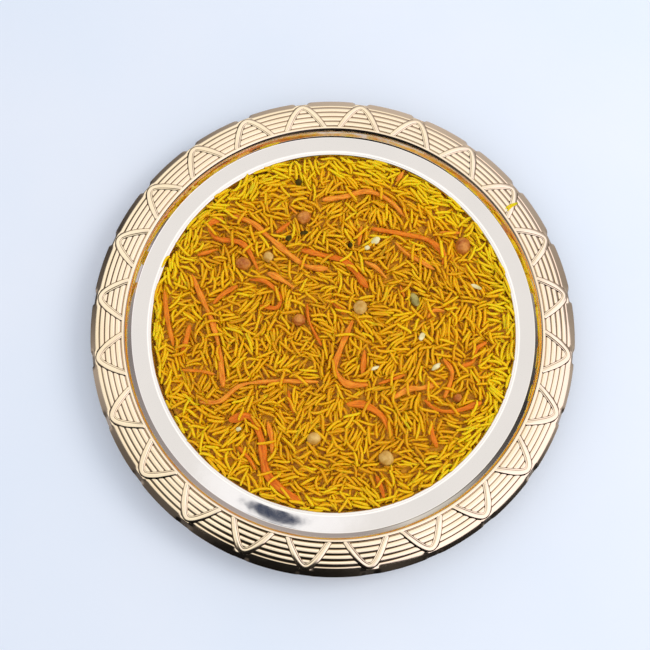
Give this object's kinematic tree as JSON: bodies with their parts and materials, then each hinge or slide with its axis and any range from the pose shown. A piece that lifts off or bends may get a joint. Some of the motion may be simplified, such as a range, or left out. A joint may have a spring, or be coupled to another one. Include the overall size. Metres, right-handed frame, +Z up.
{
  "type": "dish of spiced vegetable rice",
  "caption": "Round shallow metal serving dish with a wide gold rim of raised arches, filled level with yellow spiced rice, carrot strips, raisins and chickpeas.",
  "frame": {"origin": "centre of the dish's flat underside, on the surface that it stands on", "axes": "+Z up along the dish's axis, +X to the right and +Y away from the viewer of the picture"},
  "size_m": [0.3398, 0.3398, 0.0319],
  "materials": {
    "gold": "polished gold plate with fine ridges",
    "silver": "polished",
    "rice": "stands in for oily saffron-yellow cooked rice",
    "carrot": "stands in for soft cooked carrot, slightly glossy",
    "raisin": "stands in for plump wrinkled raisin skin, glossy",
    "chickpea": "stands in for cooked chickpea skin",
    "pistachio": "stands in for a shelled pistachio"
  },
  "bodies": {
    "root": {"dish": "gold", "rice": "rice", "carrot_01": "carrot", "carrot_02": "carrot", "carrot_03": "carrot", "carrot_04": "carrot", "carrot_05": "carrot", "carrot_06": "carrot", "carrot_07": "carrot", "carrot_08": "carrot", "carrot_09": "carrot", "carrot_10": "carrot", "carrot_11": "carrot", "carrot_12": "carrot", "carrot_13": "carrot", "carrot_14": "carrot", "carrot_15": "carrot", "carrot_16": "carrot", "carrot_17": "carrot", "carrot_18": "carrot", "carrot_19": "carrot", "carrot_20": "carrot", "carrot_21": "carrot", "carrot_22": "carrot", "carrot_23": "carrot", "carrot_24": "carrot", "carrot_25": "carrot", "carrot_26": "carrot", "carrot_27": "carrot", "carrot_28": "carrot", "carrot_29": "carrot", "carrot_30": "carrot", "carrot_31": "carrot", "carrot_32": "carrot", "carrot_33": "carrot", "carrot_34": "carrot", "carrot_35": "carrot", "carrot_36": "carrot", "carrot_37": "carrot", "carrot_38": "carrot", "carrot_39": "carrot", "raisin_1": "raisin", "raisin_2": "raisin", "raisin_3": "raisin", "raisin_4": "raisin", "raisin_5": "raisin", "chickpea_1": "chickpea", "chickpea_2": "chickpea", "chickpea_3": "chickpea", "chickpea_4": "chickpea", "pistachio_1": "pistachio"}
  },
  "joints": []
}
